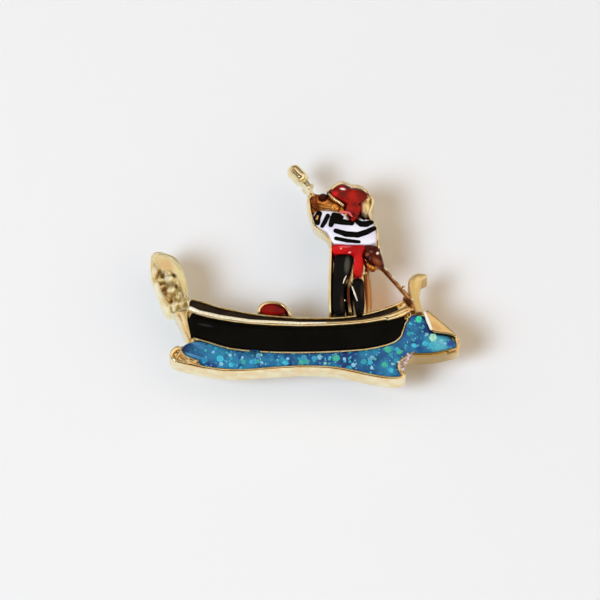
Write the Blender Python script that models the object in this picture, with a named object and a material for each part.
"""Small enamelled brooch in the shape of a gondola with its oarsman.

The brooch lies on its back, as it does on a table: +Z is up and away from the surface, +X runs from
bow to stern and +Y is the boat's own up. Cast, gold plated pieces carry pools of hard enamel. On the
back a bar is soldered, with a hinged pin and a turning catch. All sizes in the tables are millimetres.
"""
import bmesh
import bpy
from math import asin, cos, degrees, pi, radians, sin

MM = 0.001

# Driving heights, measured up from the flat back of the casting
CAST = 1.30           # top of the thin cast plates
DECK = 1.65           # top of the cast plates under the hull and the waves
FIGURE_BACK = 0.40    # the casting is hollowed behind the figure
WAVE_BACK = 0.40      # and behind the waves
GAP = 0.02            # solder line between two pieces
WAVE_TOP = 2.05
WATER_TOP = 1.95
HULL_TOP = 2.05
GUNWALE_TOP = 2.35
FIGURE_TOP = 2.25
SHIRT_TOP = 2.40
HAT_TOP = 2.60
BOW_TOP = 1.90
STERN_TOP = 1.85
COMB_TOP = 1.10       # plate of the prow, under its leaf and beads
OAR_TOP = 1.60
OAR_BACK = 0.15
SHAFT_BACK = 0.30
SEAT_TOP = 2.05

# Pin fitting on the back, measured down from the flat back
BAR_LENGTH = 14.8
BAR_WIDTH = 3.4
BAR_THICK = 0.35
BAR_CORNER = 0.5
BAR_WAIST_X = 5.1     # inside this the bar is narrower, so that the hull hides it
BAR_WAIST_Y = 0.75
BAR_Y = -3.1          # the bar lies behind the hull
PIN_AXIS = 1.10       # depth of the pin's centre line
HINGE_X = 6.2
CATCH_X = -6.5
FITTING_DEPTH = 1.80  # the brooch rests on this
EAR_THICK = 0.35
EAR_LENGTH = 2.0
BRIDGE_THICK = 0.12   # sheet between the two ears
RIVET_RADIUS = 0.22
RIVET_HOLE = 0.25
EYE_RADIUS = 0.60
EYE_HOLE = 0.27
EYE_WIDTH = 2.1
STEM_RADIUS = 0.27
STEM_TIP = 0.06
STEM_SHARP = 3.0      # length of the tapered end
STEM_END_X = -7.7
CATCH_LENGTH = 1.8
CATCH_WIDTH = 3.0
CATCH_CHAMFER = 0.25
CATCH_BORE = 0.53
CATCH_MOUTH = 0.37    # half the width of the slot that the pin enters by
COLLAR_OUTER = 0.50
COLLAR_INNER = 0.34
COLLAR_GAP = 150      # degrees
COLLAR_LENGTH = 2.3
TAB_REACH = 1.00
TAB_THICK = 0.16      # half thickness
TAB_LENGTH = 0.40     # along the pin
TAB_ANGLE = 170       # degrees round the pin, from +Y
ROUND_STEPS = 24
WIRE_STEPS = 12

# Place of the drawing's origin, so that the whole brooch is centred over the world's origin
FACE_X = 0.019
FACE_Y = -1.661
BACK_Z = FITTING_DEPTH

# Driving lines of the boat, bow to stern, as (x, y)
KEEL = [(-8.40, -4.06), (-7.14, -4.45), (-5.64, -4.93), (-3.38, -5.18), (-0.38, -5.27), (3.38, -5.11),
        (5.30, -4.86), (6.75, -4.38), (7.30, -3.80)]
STERN_SEAM = [(7.30, -3.80), (7.46, -3.15), (7.70, -2.60), (8.05, -2.10)]
GUNWALE = [(-8.75, -1.58), (-7.89, -2.05), (-6.39, -2.42), (-4.14, -2.78), (-0.38, -2.97), (3.38, -2.82),
           (5.64, -2.48), (6.90, -2.08), (7.75, -1.66)]
GUNWALE_HALF = [0.17, 0.19, 0.19, 0.18, 0.18, 0.18, 0.20, 0.27, 0.34]
FAR_HIGH = [(-8.95, -0.60), (-7.89, -0.86), (-6.39, -1.39), (-4.89, -1.72), (-3.38, -2.01), (-0.38, -2.28),
            (1.88, -2.28), (3.60, -2.12), (4.89, -1.84), (6.02, -1.48), (6.90, -1.10), (7.45, -0.70)]

# Outer edge of the waves, from under the bow round the bottom to the oar's blade, as (x, y)
WAVE_EDGE = [(-8.95, -4.42), (-9.45, -4.52), (-9.95, -4.86), (-10.15, -5.30), (-10.00, -5.75), (-9.40, -6.08),
             (-8.40, -6.32), (-7.52, -6.53), (-6.02, -6.74), (-4.51, -6.78), (-2.63, -6.62), (-0.38, -6.48),
             (1.88, -6.54), (3.38, -6.80), (4.89, -7.17), (6.02, -7.36), (6.90, -7.40), (7.45, -7.17),
             (7.50, -6.85), (7.24, -6.50), (7.20, -6.05), (7.55, -5.72), (8.15, -5.50), (9.40, -5.46),
             (10.53, -5.23), (11.35, -4.98), (11.62, -4.56), (11.50, -4.06)]
WAVE_CREST = [(-9.24, -4.98), (-9.12, -5.28), (-8.80, -5.54), (-8.35, -5.74), (-7.90, -5.88)]
BLADE_EDGE = [(11.50, -4.06), (11.05, -3.42), (10.15, -2.58), (9.15, -1.66)]

# Colours of the plating and the enamels: name, (red, green, blue), roughness, metallic
FINISHES = [
    ("gold_plate", (0.86, 0.66, 0.34), 0.18, 1.0),
    ("old_gold", (0.62, 0.40, 0.14), 0.30, 1.0),
    ("black_enamel", (0.010, 0.010, 0.012), 0.08, 0.0),
    ("blue_enamel", (0.03, 0.22, 0.45), 0.10, 0.0),
    ("red_enamel", (0.55, 0.010, 0.010), 0.12, 0.0),
    ("white_enamel", (0.84, 0.82, 0.86), 0.14, 0.0),
    ("brown_enamel", (0.16, 0.02, 0.01), 0.12, 0.0),
    ("bright_steel", (0.75, 0.74, 0.70), 0.20, 1.0),
]


def clear_scene():
    """Remove every object of the opened file."""
    for item in list(bpy.data.objects):
        bpy.data.objects.remove(item, do_unlink=True)


def make_finishes():
    """One Principled material for each plating or enamel."""
    made = {}
    for name, colour, roughness, metallic in FINISHES:
        material = bpy.data.materials.new(name)
        material.use_nodes = True
        shader = material.node_tree.nodes["Principled BSDF"]
        shader.inputs["Base Color"].default_value = (*colour, 1.0)
        shader.inputs["Roughness"].default_value = roughness
        shader.inputs["Metallic"].default_value = metallic
        material.diffuse_color = (*colour, 1.0)
        made[name] = material
    return made


def smooth_line(points, steps=3, closed=False):
    """A curve through the points, with steps pieces between each two of them."""
    count = len(points)
    spans = count if closed else count - 1
    line = []
    for i in range(spans):
        if closed:
            p0, p1, p2, p3 = (points[(i + k) % count] for k in (-1, 0, 1, 2))
        else:
            p0, p1, p2, p3 = (points[min(max(i + k, 0), count - 1)] for k in (-1, 0, 1, 2))
        for s in range(steps):
            t = s / steps
            line.append(tuple(
                0.5 * (2 * b + (c - a) * t + (2 * a - 5 * b + 4 * c - d) * t * t
                       + (3 * b - a - 3 * c + d) * t ** 3)
                for a, b, c, d in zip(p0, p1, p2, p3)))
    if not closed:
        line.append(tuple(points[-1]))
    return line


def height_of(line, x):
    """The y of a line at x."""
    for (x0, y0), (x1, y1) in zip(line, line[1:]):
        if x0 <= x <= x1:
            return y0 + (y1 - y0) * (x - x0) / (x1 - x0)
    return line[0][1] if x < line[0][0] else line[-1][1]


def turned_left(outline):
    """The outline's points in counter-clockwise order."""
    area = sum(x0 * y1 - x1 * y0 for (x0, y0), (x1, y1) in zip(outline, outline[1:] + outline[:1]))
    return outline if area > 0 else outline[::-1]


def side_step(line, distance, closed=False):
    """The line moved sideways, to its left for a positive distance."""
    count = len(line)
    moved = []
    for i, (x, y) in enumerate(line):
        before = line[i - 1] if closed or i else line[i]
        after = line[(i + 1) % count] if closed or i < count - 1 else line[i]
        ax, ay = x - before[0], y - before[1]
        bx, by = after[0] - x, after[1] - y
        la = (ax * ax + ay * ay) ** 0.5 or 1.0
        lb = (bx * bx + by * by) ** 0.5 or 1.0
        dx, dy = ax / la + bx / lb, ay / la + by / lb
        length = (dx * dx + dy * dy) ** 0.5 or 1.0
        stretch = min(2.0 / length, 1.6) if 0.5 < length < 2.0 and 0 < i < count - 1 else 1.0
        moved.append((x - dy / length * distance * stretch, y + dx / length * distance * stretch))
    return moved


def inset(outline, distance):
    """A closed outline drawn in on all sides."""
    return side_step(turned_left(outline), distance, closed=True)


def at_height(outline, z):
    return [(x, y, z) for x, y in outline]


def loft(rings):
    """Closed skin over rings of equal length, as a mesh in millimetres."""
    mesh = bmesh.new()
    loops = [[mesh.verts.new(point) for point in ring] for ring in rings]
    size = len(loops[0])
    for low, high in zip(loops, loops[1:]):
        for i in range(size):
            j = (i + 1) % size
            mesh.faces.new((low[i], low[j], high[j], high[i]))
    mesh.faces.new(loops[0])
    mesh.faces.new(loops[-1])
    return mesh


def pool(outline, floor, top, rounding=0.12, crown=0.0):
    """A filled outline with a flat floor, upright sides and a top rounded over at its edge."""
    outline = turned_left(outline)
    rings = [at_height(outline, floor), at_height(outline, top - rounding)]
    rings.append(at_height(inset(outline, 0.3 * rounding), top - 0.3 * rounding))
    rings.append(at_height(inset(outline, rounding), top))
    if crown:
        rings.append(at_height(inset(outline, 2.6 * rounding), top + crown))
    return loft(rings)


def bar(line, half_widths, floor, top, drop=0.16):
    """A rail with a flat floor and a rounded back, along a line. Its width may change on the way."""
    count = len(line)
    if isinstance(half_widths, (int, float)):
        half_widths = [half_widths] * 2
    rings = []
    for i, (x, y) in enumerate(line):
        place = i / (count - 1) * (len(half_widths) - 1)
        k = min(int(place), len(half_widths) - 2)
        half = half_widths[k] + (half_widths[k + 1] - half_widths[k]) * (place - k)
        (ax, ay), (bx, by) = line[max(i - 1, 0)], line[min(i + 1, count - 1)]
        length = ((bx - ax) ** 2 + (by - ay) ** 2) ** 0.5
        nx, ny = -(by - ay) / length, (bx - ax) / length
        section = [(-1, floor), (-1, top - drop), (-0.65, top - 0.3 * drop), (0, top),
                   (0.65, top - 0.3 * drop), (1, top - drop), (1, floor)]
        rings.append([(x + nx * s * half, y + ny * s * half, z) for s, z in section])
    return loft(rings)


def dome(x, y, half_long, half_wide, turn, floor, top, steps=14, levels=4):
    """A button: a flat floor, then an oval that closes to a small flat top."""
    lean = radians(turn)
    rings = []
    for level in range(levels + 1):
        angle = level / (levels + 0.35) * pi / 2
        size = cos(angle)
        z = floor + (top - floor) * sin(angle)
        ring = []
        for i in range(steps):
            a = 2 * pi * i / steps
            u, v = half_long * size * cos(a), half_wide * size * sin(a)
            ring.append((x + u * cos(lean) - v * sin(lean), y + u * sin(lean) + v * cos(lean), z))
        rings.append(ring)
    return loft(rings)


def place(name, mesh, finish, location=(0, 0, 0), parent=None):
    """Make the object of a mesh given in millimetres, at a location in millimetres."""
    bmesh.ops.scale(mesh, vec=(MM, MM, MM), verts=mesh.verts)
    bmesh.ops.recalc_face_normals(mesh, faces=mesh.faces)
    data = bpy.data.meshes.new(name)
    mesh.to_mesh(data)
    mesh.free()
    data.shade_smooth()
    data.set_sharp_from_angle(angle=radians(35))
    data.materials.append(FINISH[finish])
    item = bpy.data.objects.new(name, data)
    item.location = [value * MM for value in location]
    item.parent = parent
    bpy.context.scene.collection.objects.link(item)
    return item


def empty(name, location):
    item = bpy.data.objects.new(name, None)
    item.location = [value * MM for value in location]
    bpy.context.scene.collection.objects.link(item)
    return item


def cut(item, cutter, operation="DIFFERENCE"):
    """Apply one shape to another with a live Boolean, and leave the tool shape out of the model."""
    cutter.hide_render = True
    cutter.display_type = "WIRE"
    change = item.modifiers.new(cutter.name, "BOOLEAN")
    change.operation = operation
    change.solver = "EXACT"
    change.object = cutter


def cross_bar(radius, length):
    """A round bar along Y, centred on the origin."""
    turns = [2 * pi * (i + 0.5) / ROUND_STEPS for i in range(ROUND_STEPS)]
    return loft([[(radius * sin(a), y, radius * cos(a)) for a in turns] for y in (-length / 2, length / 2)])


def pin_wire(length):
    """The pin's wire: along X from its sharp end to inside the eye."""
    turns = [2 * pi * i / WIRE_STEPS for i in range(WIRE_STEPS)]
    sizes = [(-length, STEM_TIP), (-length + STEM_SHARP, STEM_RADIUS), (-EYE_HOLE - 0.1, STEM_RADIUS)]
    return loft([[(x, size * cos(a), size * sin(a)) for a in turns] for x, size in sizes])


def arc(radius, start, end, steps):
    """Points of an arc in the plane across the pin, as (y, z), angles in degrees from +Y."""
    angles = [radians(start + (end - start) * i / steps) for i in range(steps + 1)]
    return [(radius * cos(a), radius * sin(a)) for a in angles]


def across_pin(section, length, start=None):
    """A section in the YZ plane made into a body along X."""
    low = -length / 2 if start is None else start
    return loft([[(x, y, z) for y, z in section] for x in (low, low + length)])


def make_waves():
    """The wave tray with its rim and crest, the water and the oar's blade."""
    edge = smooth_line(WAVE_EDGE, 2)
    blade_side = smooth_line(BLADE_EDGE, 2)
    seam = smooth_line(KEEL, 2) + smooth_line(STERN_SEAM, 2)[1:]
    top_side = side_step(seam, -GAP)
    wave = edge + blade_side[1:] + top_side[::-1]
    place("wave_base", pool(inset(wave, 0.02), WAVE_BACK, DECK, 0.06), "gold_plate", parent=FACE)
    rim_line = side_step(edge[2:], 0.18)
    place("wave_rim", bar(rim_line, 0.16, DECK + GAP, WAVE_TOP), "gold_plate", parent=FACE)
    crest = smooth_line(WAVE_CREST, 3)
    place("wave_crest", bar(crest, [0.09, 0.12, 0.12, 0.06], DECK + GAP, WAVE_TOP + 0.05), "gold_plate",
          parent=FACE)
    shore = side_step(crest, 0.15) + side_step(edge, 0.37)[14:-1]
    blade_shore = [(10.62, -3.86), (9.66, -3.72), (9.36, -3.55), (9.05, -2.75), (8.84, -2.20)]
    water = shore + blade_shore + side_step(seam, -0.03)[::-1][:-1] + [(-8.62, -4.40), (-8.98, -4.62)]
    place("water", pool(water, DECK + GAP, WATER_TOP, 0.06), "blue_enamel", parent=FACE)
    blade = side_step(blade_side, 0.03) + [(8.98, -1.95), (8.98, -2.20), (9.20, -2.75), (9.50, -3.46),
                                           (9.66, -3.56), (10.70, -3.70), (11.22, -3.92)]
    place("oar_blade", pool(blade, DECK + GAP, WAVE_TOP + 0.05, 0.07), "gold_plate", parent=FACE)


def make_hull():
    """The hull's plate, its rails and the two fields of black enamel."""
    keel, seam, gunwale, far_high = (smooth_line(line, 2) for line in (KEEL, STERN_SEAM, GUNWALE, FAR_HIGH))
    bow_side = [(-8.83, -1.30), (-8.66, -2.45), (-8.44, -3.40)]
    hull = keel + seam[1:] + [(7.98, -1.50), (7.60, -0.95)] + far_high[::-1] + bow_side
    place("hull_plate", pool(inset(hull, 0.02), 0, DECK, 0.06), "gold_plate", parent=FACE)
    keel_line = side_step(keel + seam[1:], 0.10)
    place("keel_rail", bar(keel_line, 0.07, DECK + GAP, HULL_TOP, 0.1), "gold_plate", parent=FACE)
    rail = bar(gunwale, GUNWALE_HALF, DECK + GAP, GUNWALE_TOP, 0.22)
    place("near_gunwale", rail, "gold_plate", parent=FACE)
    far_line = side_step(far_high[1:-1], -0.13)
    rail = bar(far_line, [0.08, 0.09, 0.08, 0.09, 0.11], DECK + GAP, HULL_TOP + 0.1)
    place("far_gunwale", rail, "gold_plate", parent=FACE)
    side_low = side_step(keel, 0.20)
    side_high = [(x, y - 0.24) for x, y in gunwale if -8.5 < x < 5.8]
    stern_end = [(7.13, -3.30), (7.30, -2.78), (7.46, -2.42), (6.90, -2.36)]
    side = side_low[:-1] + stern_end + side_high[::-1] + [(-8.56, -2.30)]
    place("hull_side", pool(side, DECK + GAP, HULL_TOP - 0.05, 0.08), "black_enamel", parent=FACE)
    inside_places = (-8.55, -8.1, -7.4, -6.4, -5.2, -4, -2.5, -0.4, 1.9, 3.4, 4.5, 5.6, 6.4, 6.85)
    low_edge = [(x, height_of(gunwale, x) + 0.24 + (0.06 if x > 6 else 0)) for x in inside_places]
    high_edge = [(x, height_of(far_high, x) - 0.25 - (0.08 if x > 5 else 0)) for x in inside_places[::-1]]
    place("hull_inside", pool(low_edge + high_edge, DECK + GAP, HULL_TOP - 0.05, 0.05), "black_enamel",
          parent=FACE)


def make_bow():
    """The bow post and the comb of the prow: a leaf, prongs and beads on one plate."""
    post = smooth_line([(-9.36, -1.72), (-9.06, -2.50), (-8.80, -3.40), (-8.60, -4.00)], 3)
    place("bow_post", bar(post, [0.40, 0.30, 0.26, 0.14], 0, WAVE_TOP - 0.1, 0.2), "gold_plate", parent=FACE)
    comb = [(-11.58, 3.20), (-11.00, 3.28), (-10.48, 3.16), (-9.72, 2.84), (-9.30, 2.28), (-9.02, 1.50),
            (-8.86, 0.80), (-8.80, 0.10), (-8.92, -0.62), (-9.30, -1.40), (-9.78, -1.62), (-10.35, -1.60),
            (-10.70, -0.97), (-10.92, -0.45), (-11.02, 0.10), (-11.24, 0.60), (-11.50, 1.20), (-11.60, 1.80),
            (-11.62, 2.50)]
    place("prow_plate", pool(smooth_line(comb, 2, closed=True), 0, COMB_TOP, 0.08), "gold_plate", parent=FACE)
    leaf = [(-11.44, 2.95), (-11.00, 3.14), (-10.53, 3.03), (-9.82, 2.72), (-9.42, 2.22), (-9.14, 1.48),
            (-8.99, 0.82), (-8.94, 0.20), (-9.06, -0.30), (-9.26, 0.20), (-9.42, 0.74), (-9.72, 1.32),
            (-10.20, 1.56), (-10.68, 1.56), (-10.92, 1.90), (-11.20, 2.28)]
    place("prow_leaf", pool(smooth_line(leaf, 2, closed=True), COMB_TOP + GAP, BOW_TOP, 0.05), "gold_plate",
          parent=FACE)
    # centre x, centre y, half length, half width, turn in degrees
    prongs = [(-11.28, 1.58, 0.42, 0.26, 84), (-10.96, 0.56, 0.32, 0.28, 10),
              (-10.52, -0.28, 0.36, 0.27, -20), (-10.42, -1.10, 0.46, 0.25, -62)]
    beads = [(-10.19, 0.97, 0.42, 0.40, 0), (-9.85, 0.00, 0.42, 0.31, 80), (-9.74, -1.05, 0.40, 0.29, 84)]
    for name, table, top in (("prow_prong", prongs, BOW_TOP - 0.1), ("prow_bead", beads, BOW_TOP - 0.05)):
        for number, (x, y, long, wide, turn) in enumerate(table, 1):
            shape = dome(x, y, long, wide, turn, COMB_TOP + GAP, top)
            place(f"{name}_{number}", shape, "gold_plate", parent=FACE)


def make_stern():
    """The stern post and its curl."""
    post = smooth_line([(8.52, -1.80), (8.42, -1.32), (8.23, -0.50), (8.16, 0.16)], 3)
    place("stern_post", bar(post, [0.28, 0.28, 0.33, 0.41], 0, STERN_TOP, 0.25), "gold_plate", parent=FACE)
    curl = smooth_line([(8.16, 0.19), (8.22, 0.74), (8.50, 1.12), (9.17, 1.22)], 4)
    place("stern_curl", bar(curl, [0.41, 0.47, 0.36, 0.10], 0, STERN_TOP, 0.25), "gold_plate", parent=FACE)


def make_seat():
    """The passenger's seat behind the far gunwale."""
    far_high = smooth_line(FAR_HIGH, 2)
    crest = smooth_line([(-3.61, -1.90), (-3.56, -1.50), (-3.20, -1.08), (-2.63, -0.91), (-1.90, -1.00),
                         (-1.38, -1.33), (-1.08, -1.75), (-0.95, -2.12)], 2)
    foot = [(x, height_of(far_high, x) + 0.03) for x in (-0.95, -1.8, -2.7, -3.61)]
    place("seat_back", pool(crest + foot, 0, CAST, 0.05), "gold_plate", parent=FACE)
    rim = bar(side_step(crest, -0.15), 0.12, CAST + GAP, SEAT_TOP, 0.12)
    place("seat_rim", rim, "gold_plate", parent=FACE)
    cushion = [(-3.24, -1.60), (-2.93, -1.28), (-2.40, -1.24), (-1.88, -1.42), (-1.48, -1.80), (-2.20, -1.98),
               (-3.12, -1.86)]
    shape = pool(smooth_line(cushion, 2, closed=True), CAST + GAP, SEAT_TOP - 0.05, 0.08)
    place("seat_cushion", shape, "red_enamel", parent=FACE)


def make_figure():
    """The oarsman: a plate in two parts, enamel clothes, hat, head, arms."""
    far_high = smooth_line(FAR_HIGH, 2)
    foot = [(x, height_of(far_high, x) + 0.03) for x in (1.78, 2.6, 3.6, 4.55)]
    legs = foot + [(4.58, -1.00), (4.45, 0.60), (4.42, 1.56), (5.10, 1.58), (5.66, 1.70), (5.92, 2.10),
                   (5.80, 2.80), (5.64, 3.20), (1.94, 3.20), (1.82, 1.90), (1.74, -0.16)]
    place("legs_plate", pool(legs, FIGURE_BACK, CAST, 0.05), "gold_plate", parent=FACE)
    chest = [(1.94, 3.22), (5.64, 3.22), (5.62, 3.96), (5.46, 4.95), (5.10, 5.60), (4.98, 6.18), (5.16, 6.84),
             (5.22, 7.42), (4.86, 8.02), (4.25, 8.42), (3.53, 8.58), (2.80, 8.70), (2.15, 8.55), (1.75, 8.12),
             (1.28, 8.05), (0.85, 8.12), (0.52, 8.45), (0.32, 8.28), (0.12, 7.66), (0.18, 6.84), (0.40, 6.02),
             (0.62, 5.46), (1.00, 4.98), (1.58, 4.55), (1.88, 3.96)]
    place("chest_plate", pool(chest, FIGURE_BACK, CAST, 0.05), "gold_plate", parent=FACE)

    # name, finish, top, outline
    enamels = [
        ("trouser_left", "black_enamel", FIGURE_TOP,
         [(2.36, 2.70), (3.46, 2.66), (3.50, 1.96), (3.30, 1.20), (2.98, 0.58), (2.88, -0.66), (2.94, -1.90),
          (2.22, -1.96), (2.12, -1.07), (2.14, 0.58), (2.24, 1.90)]),
        ("trouser_right", "black_enamel", FIGURE_TOP,
         [(3.62, 0.66), (4.04, 0.76), (4.32, 0.60), (4.38, -0.30), (4.36, -1.72), (3.84, -1.82),
          (3.74, -1.07), (3.58, -0.25)]),
        ("sash", "red_enamel", SHIRT_TOP,
         [(2.16, 3.50), (3.20, 3.44), (4.34, 3.44), (4.38, 3.10), (4.22, 2.70), (4.32, 2.10), (4.28, 1.46),
          (4.00, 0.98), (3.66, 1.36), (3.74, 2.10), (3.62, 2.76), (2.80, 2.86), (2.20, 2.90)]),
        ("shirt", "white_enamel", SHIRT_TOP,
         [(1.22, 6.30), (2.40, 6.18), (2.95, 6.02), (3.30, 5.42), (3.66, 5.30), (4.04, 5.42), (4.30, 5.62),
          (4.95, 5.42), (5.24, 4.86), (5.32, 3.78), (4.40, 3.62), (3.20, 3.60), (2.22, 3.70), (1.98, 4.10),
          (1.66, 4.66), (1.00, 5.08), (0.70, 5.58), (0.78, 6.12)]),
        ("neck_ribbon", "red_enamel", SHIRT_TOP + 0.05,
         [(3.20, 6.78), (4.14, 6.80), (4.08, 6.20), (3.92, 5.62), (3.66, 5.46), (3.44, 5.66), (3.20, 6.10)]),
        ("hat", "red_enamel", HAT_TOP,
         [(1.98, 7.84), (2.36, 8.28), (2.86, 8.46), (3.30, 8.16), (3.83, 8.12), (4.40, 8.00), (4.72, 7.50),
          (4.28, 7.18), (3.95, 6.92), (3.42, 6.92), (3.00, 7.16), (2.50, 7.42)]),
        ("lowered_arm", "brown_enamel", FIGURE_TOP,
         [(4.56, 3.38), (5.34, 3.44), (5.60, 2.76), (5.64, 2.18), (5.40, 1.78), (4.84, 1.74), (4.56, 2.10),
          (4.50, 2.75)]),
    ]
    for name, finish, top, outline in enamels:
        shape = pool(smooth_line(outline, 2, closed=True), CAST + GAP, top, 0.07, 0.03)
        place(name, shape, finish, parent=FACE)

    # name, half width, top, line
    rails = [
        ("figure_edge_left", 0.09, FIGURE_TOP,
         [(1.88, -2.02), (1.86, -0.20), (1.90, 1.90), (1.94, 3.10), (1.88, 3.92), (1.58, 4.40), (1.08, 4.86),
          (0.62, 5.36), (0.46, 6.00), (0.32, 6.84), (0.26, 7.60)]),
        ("figure_edge_right", 0.09, FIGURE_TOP,
         [(5.48, 3.90), (5.36, 4.95), (5.00, 5.62), (4.82, 6.20), (5.04, 6.84), (5.08, 7.36), (4.78, 7.84)]),
        ("leg_seam", 0.15, FIGURE_TOP - 0.15, [(3.36, 0.62), (3.24, -0.40), (3.38, -1.92)]),
        ("hat_brim", 0.10, FIGURE_TOP + 0.15, [(1.80, 7.72), (2.24, 7.28), (2.62, 7.02), (2.92, 6.74)]),
    ]
    for name, half, top, line in rails:
        place(name, bar(smooth_line(line, 3), half, CAST + GAP, top, 0.10), "gold_plate", parent=FACE)

    place("head", dome(2.54, 6.56, 0.40, 0.25, -38, CAST + GAP, FIGURE_TOP), "old_gold", parent=FACE)
    hand = dome(1.35, 7.62, 0.44, 0.40, 0, CAST + GAP, FIGURE_TOP + 0.05)
    place("oar_hand", hand, "brown_enamel", parent=FACE)
    forearm = smooth_line([(0.62, 7.60), (0.70, 7.00), (1.30, 6.75), (2.00, 6.62)], 3)
    place("raised_arm", bar(forearm, [0.22, 0.28, 0.30, 0.20], CAST + GAP, FIGURE_TOP - 0.1, 0.2), "old_gold",
          parent=FACE)


def make_oar():
    """The oar: a knob, the loom above the hands, and the shaft down to the stern."""
    knob = dome(-0.53, 9.90, 0.90, 0.68, -50, OAR_BACK, OAR_TOP + 0.25, steps=18, levels=6)
    place("oar_knob", knob, "gold_plate", parent=FACE)
    loom = [(0.00, 9.14), (0.40, 8.66)]
    place("oar_loom", bar(loom, [0.30, 0.24], OAR_BACK, OAR_TOP, 0.3), "gold_plate", parent=FACE)
    route = [(6.04, 1.84), (6.30, 1.56), (6.64, 1.02), (7.14, 0.28), (7.52, -0.30), (7.64, -0.56)]
    shaft = smooth_line(route, 2)
    stick = bar(shaft, [0.17, 0.15, 0.15, 0.17], SHAFT_BACK, OAR_TOP, 0.15)
    place("oar_shaft", stick, "gold_plate", parent=FACE)


def make_fitting():
    """The bar, the hinge bracket with its rivet, the pin, the catch and its turning collar."""
    back = empty("back_plane", (FACE_X, FACE_Y + BAR_Y, BACK_Z))
    half_long, half_wide, corner = BAR_LENGTH / 2, BAR_WIDTH / 2, BAR_CORNER
    ends = [(half_long - corner + u, half_wide - corner + v) for u, v in arc(corner, 0, 90, 4)]
    upper = ends + [(BAR_WAIST_X, half_wide), (BAR_WAIST_X - corner, BAR_WAIST_Y)]
    outline = upper + [(-x, y) for x, y in upper[::-1]]
    outline += [(-x, -y) for x, y in ends] + [(x, -y) for x, y in ends[::-1]]
    strip = loft([at_height(outline, z) for z in (-GAP - BAR_THICK, -GAP)])
    place("pin_bar", strip, "gold_plate", parent=back)

    base = -GAP - BAR_THICK - GAP
    foot = -FITTING_DEPTH
    inner = half_wide - EAR_THICK
    bracket = [(half_wide, base), (half_wide, foot), (inner, foot), (inner, base - BRIDGE_THICK),
               (-inner, base - BRIDGE_THICK), (-inner, foot), (-half_wide, foot), (-half_wide, base)]
    joint = place("hinge_bracket", across_pin(bracket, EAR_LENGTH), "gold_plate", (HINGE_X, 0, 0), back)
    hinge = (HINGE_X, 0, -PIN_AXIS)
    cut(joint, place("rivet_drill", cross_bar(RIVET_HOLE, BAR_WIDTH + 1), "gold_plate", hinge, back))
    place("hinge_rivet", cross_bar(RIVET_RADIUS, BAR_WIDTH + 0.1), "gold_plate", hinge, back)

    pivot = (FACE_X + HINGE_X, FACE_Y + BAR_Y, BACK_Z - PIN_AXIS)
    pin = place("pin_stem", cross_bar(EYE_RADIUS, EYE_WIDTH), "bright_steel", pivot)
    wire_tool = place("stem_wire", pin_wire(HINGE_X - STEM_END_X), "bright_steel", pivot)
    cut(pin, wire_tool, "UNION")
    eye = place("eye_drill", cross_bar(EYE_HOLE, EYE_WIDTH + 1), "bright_steel", pivot)
    cut(pin, eye)

    slot = degrees(asin(CATCH_MOUTH / CATCH_BORE))
    rise = base + PIN_AXIS
    land = foot + PIN_AXIS
    half_catch = CATCH_WIDTH / 2
    shoulder = half_catch - CATCH_CHAMFER
    housing = [(half_catch, rise), (-half_catch, rise), (-half_catch, land + CATCH_CHAMFER),
               (-shoulder, land), (-CATCH_MOUTH, land)]
    housing += arc(CATCH_BORE, 270 - slot, -90 + slot, 20)
    housing += [(CATCH_MOUTH, land), (shoulder, land), (half_catch, land + CATCH_CHAMFER)]
    place("catch_block", across_pin(housing, CATCH_LENGTH), "gold_plate", (CATCH_X, 0, -PIN_AXIS), back)

    ring = arc(COLLAR_OUTER, -90 + COLLAR_GAP / 2, 270 - COLLAR_GAP / 2, 16)
    ring += arc(COLLAR_INNER, 270 - COLLAR_GAP / 2, -90 + COLLAR_GAP / 2, 16)
    collar_place = (FACE_X + CATCH_X, FACE_Y + BAR_Y, BACK_Z - PIN_AXIS)
    start = -CATCH_LENGTH / 2 - (COLLAR_LENGTH - CATCH_LENGTH)
    collar = place("catch_collar", across_pin(ring, COLLAR_LENGTH, start), "gold_plate", collar_place)
    lean = radians(TAB_ANGLE)
    tab = [(r * cos(lean) - s * sin(lean), r * sin(lean) + s * cos(lean))
           for r, s in ((COLLAR_INNER + 0.06, -TAB_THICK), (TAB_REACH, -TAB_THICK), (TAB_REACH, TAB_THICK),
                        (COLLAR_INNER + 0.06, TAB_THICK))]
    tab_tool = place("collar_tab", across_pin(tab, TAB_LENGTH, start + GAP), "gold_plate", collar_place)
    cut(collar, tab_tool, "UNION")


clear_scene()
FINISH = make_finishes()
FACE = empty("face_plane", (FACE_X, FACE_Y, BACK_Z))
make_waves()
make_hull()
make_bow()
make_stern()
make_seat()
make_figure()
make_oar()
make_fitting()
